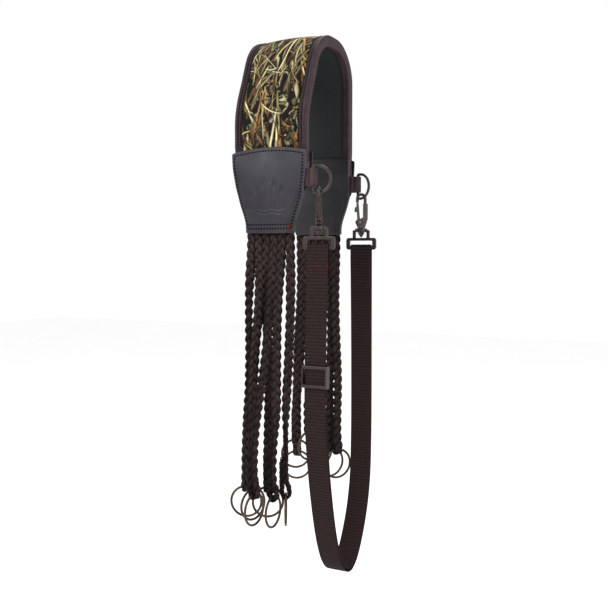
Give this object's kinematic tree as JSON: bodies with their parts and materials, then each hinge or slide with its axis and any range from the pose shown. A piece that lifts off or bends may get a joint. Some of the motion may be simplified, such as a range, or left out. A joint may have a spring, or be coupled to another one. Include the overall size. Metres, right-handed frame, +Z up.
{
  "type": "game strap",
  "caption": "Padded shoulder strap with two leather yokes of braided drops ending in wire rings, and an adjustable webbing sling on swivel snap hooks.",
  "frame": {"origin": "underside of the padded saddle at its crest, where the strap rests on the shoulder", "axes": "+Z up, +X towards the side that the sling hangs on, -Y towards the front of the wearer"},
  "size_m": [0.1321, 0.1788, 0.6095],
  "materials": {
    "camo_fabric": "printed woven reed camouflage",
    "foam": "closed-cell neoprene foam",
    "lining_fabric": "matte knitted lining",
    "binding_tape": "folded ribbed tape",
    "leather": "smooth semi-gloss leather",
    "tab_leather": "smooth leather tab",
    "braided_cord": "three-strand braid",
    "ring_metal": "antique brass plating",
    "brown_hardware": "satin brown coating",
    "spring_steel": "plain steel",
    "webbing": "ribbed flat webbing"
  },
  "bodies": {
    "shoulder_strap": {"lining": "lining_fabric", "foam_pad": "foam", "camo_cover": "camo_fabric", "binding_left": "binding_tape", "binding_right": "binding_tape", "front_yoke_outer": "leather", "front_yoke_inner": "leather", "back_yoke_outer": "leather", "back_yoke_inner": "leather", "front_cord_ends": "braided_cord", "back_cord_ends": "braided_cord", "front_ring_tab": "tab_leather", "back_ring_tab": "tab_leather"},
    "front_drops": {"front_drop_1": "braided_cord", "front_drop_2": "braided_cord", "front_drop_3": "braided_cord", "front_drop_4": "braided_cord", "front_drop_5": "braided_cord", "front_drop_6": "braided_cord"},
    "back_drops": {"back_drop_1": "braided_cord", "back_drop_2": "braided_cord", "back_drop_3": "braided_cord", "back_drop_4": "braided_cord", "back_drop_5": "braided_cord", "back_drop_6": "braided_cord"},
    "front_ring_body_1": {"front_ring_1": "ring_metal"},
    "front_ring_body_2": {"front_ring_2": "ring_metal"},
    "front_ring_body_3": {"front_ring_3": "ring_metal"},
    "front_ring_body_4": {"front_ring_4": "ring_metal"},
    "front_ring_body_5": {"front_ring_5": "ring_metal"},
    "front_ring_body_6": {"front_ring_6": "ring_metal"},
    "back_ring_body_1": {"back_ring_1": "ring_metal"},
    "back_ring_body_2": {"back_ring_2": "ring_metal"},
    "back_ring_body_3": {"back_ring_3": "ring_metal"},
    "back_ring_body_4": {"back_ring_4": "ring_metal"},
    "back_ring_body_5": {"back_ring_5": "ring_metal"},
    "back_ring_body_6": {"back_ring_6": "ring_metal"},
    "front_sling_ring": {"front_d_ring": "brown_hardware"},
    "back_sling_ring": {"back_d_ring": "brown_hardware"},
    "sling": {"sling_outer_run": "webbing", "sling_return_run": "webbing", "front_swivel_base": "brown_hardware", "back_swivel_base": "brown_hardware"},
    "front_hook_body": {"front_hook": "brown_hardware", "front_gate_pin": "spring_steel", "front_gate_spring": "spring_steel"},
    "front_gate_body": {"front_gate": "brown_hardware"},
    "back_hook_body": {"back_hook": "brown_hardware", "back_gate_pin": "spring_steel", "back_gate_spring": "spring_steel"},
    "back_gate_body": {"back_gate": "brown_hardware"},
    "slider_body": {"slider": "brown_hardware", "slider_loop": "webbing"}
  },
  "joints": [
    {"name": "front_drops_swing", "type": "hinge", "parent": "shoulder_strap", "child": "front_drops", "pos_m": [0, -0.05835, -0.2132], "axis": [1, 0, 0], "range_deg": [-70, 8]},
    {"name": "back_drops_swing", "type": "hinge", "parent": "shoulder_strap", "child": "back_drops", "pos_m": [0, 0.06035, -0.2132], "axis": [1, 0, 0], "range_deg": [-8, 70]},
    {"name": "front_ring_1_turn", "type": "hinge", "parent": "front_drops", "child": "front_ring_body_1", "pos_m": [-0.0375, -0.0505, -0.5172], "axis": [0.3584, -0.9336, 0], "continuous": true},
    {"name": "front_ring_2_turn", "type": "hinge", "parent": "front_drops", "child": "front_ring_body_2", "pos_m": [-0.0245, -0.0575, -0.5172], "axis": [0.9511, -0.309, 0], "continuous": true},
    {"name": "front_ring_3_turn", "type": "hinge", "parent": "front_drops", "child": "front_ring_body_3", "pos_m": [-0.018, -0.0345, -0.5197], "axis": [0.5446, -0.8387, 0], "continuous": true},
    {"name": "front_ring_4_turn", "type": "hinge", "parent": "front_drops", "child": "front_ring_body_4", "pos_m": [-0.012, -0.076, -0.5162], "axis": [0.9962, -0.0872, 0], "continuous": true},
    {"name": "front_ring_5_turn", "type": "hinge", "parent": "front_drops", "child": "front_ring_body_5", "pos_m": [0.0025, -0.059, -0.5212], "axis": [0.9998, 0.0175, 0], "continuous": true},
    {"name": "front_ring_6_turn", "type": "hinge", "parent": "front_drops", "child": "front_ring_body_6", "pos_m": [0.0135, -0.0495, -0.5197], "axis": [0.891, 0.454, 0], "continuous": true},
    {"name": "back_ring_1_turn", "type": "hinge", "parent": "back_drops", "child": "back_ring_body_1", "pos_m": [-0.0365, 0.074, -0.5032], "axis": [0.5, -0.866, 0], "continuous": true},
    {"name": "back_ring_2_turn", "type": "hinge", "parent": "back_drops", "child": "back_ring_body_2", "pos_m": [-0.0275, 0.0535, -0.4832], "axis": [0.5, -0.866, 0], "continuous": true},
    {"name": "back_ring_3_turn", "type": "hinge", "parent": "back_drops", "child": "back_ring_body_3", "pos_m": [-0.008, 0.053, -0.4707], "axis": [0.9205, -0.3907, 0], "continuous": true},
    {"name": "back_ring_4_turn", "type": "hinge", "parent": "back_drops", "child": "back_ring_body_4", "pos_m": [0.004, 0.058, -0.4787], "axis": [0.8829, -0.4695, 0], "continuous": true},
    {"name": "back_ring_5_turn", "type": "hinge", "parent": "back_drops", "child": "back_ring_body_5", "pos_m": [0.016, 0.0625, -0.4912], "axis": [0.8192, -0.5736, 0], "continuous": true},
    {"name": "back_ring_6_turn", "type": "hinge", "parent": "back_drops", "child": "back_ring_body_6", "pos_m": [0.028, 0.0565, -0.4902], "axis": [0.7771, -0.6293, 0], "continuous": true},
    {"name": "front_d_ring_turn", "type": "hinge", "parent": "shoulder_strap", "child": "front_sling_ring", "pos_m": [0.0525, -0.05835, -0.154], "axis": [0, 0, 1], "range_deg": [-6, 6]},
    {"name": "back_d_ring_turn", "type": "hinge", "parent": "shoulder_strap", "child": "back_sling_ring", "pos_m": [0.0525, 0.06035, -0.154], "axis": [0, 0, 1], "range_deg": [-6, 6]},
    {"name": "sling_swing", "type": "hinge", "parent": "shoulder_strap", "child": "sling", "pos_m": [0.058, 0, -0.1683], "axis": [0, 1, 0], "range_deg": [-20, 0]},
    {"name": "front_hook_swivel", "type": "hinge", "parent": "sling", "child": "front_hook_body", "pos_m": [0.058, -0.05718, -0.1683], "axis": [0, 0, 1], "range_deg": [-30, 8]},
    {"name": "front_gate_press", "type": "hinge", "parent": "front_hook_body", "child": "front_gate_body", "pos_m": [0.05936, -0.05985, -0.1963], "axis": [0.891, 0.454, 0], "range_deg": [-10, 0], "stiffness_Nm_per_rad": 0.02, "springref_deg": 2.86},
    {"name": "back_hook_swivel", "type": "hinge", "parent": "sling", "child": "back_hook_body", "pos_m": [0.058, 0.05801, -0.1683], "axis": [0, 0, 1], "range_deg": [-3, 22]},
    {"name": "back_gate_press", "type": "hinge", "parent": "back_hook_body", "child": "back_gate_body", "pos_m": [0.05588, 0.05589, -0.1963], "axis": [0.7071, -0.7071, 0], "range_deg": [-10, 0], "stiffness_Nm_per_rad": 0.02, "springref_deg": 2.86},
    {"name": "slider_slide", "type": "slide", "parent": "sling", "child": "slider_body", "axis": [0, 0.045, 0.999], "range_m": [0, 0.06]}
  ]
}
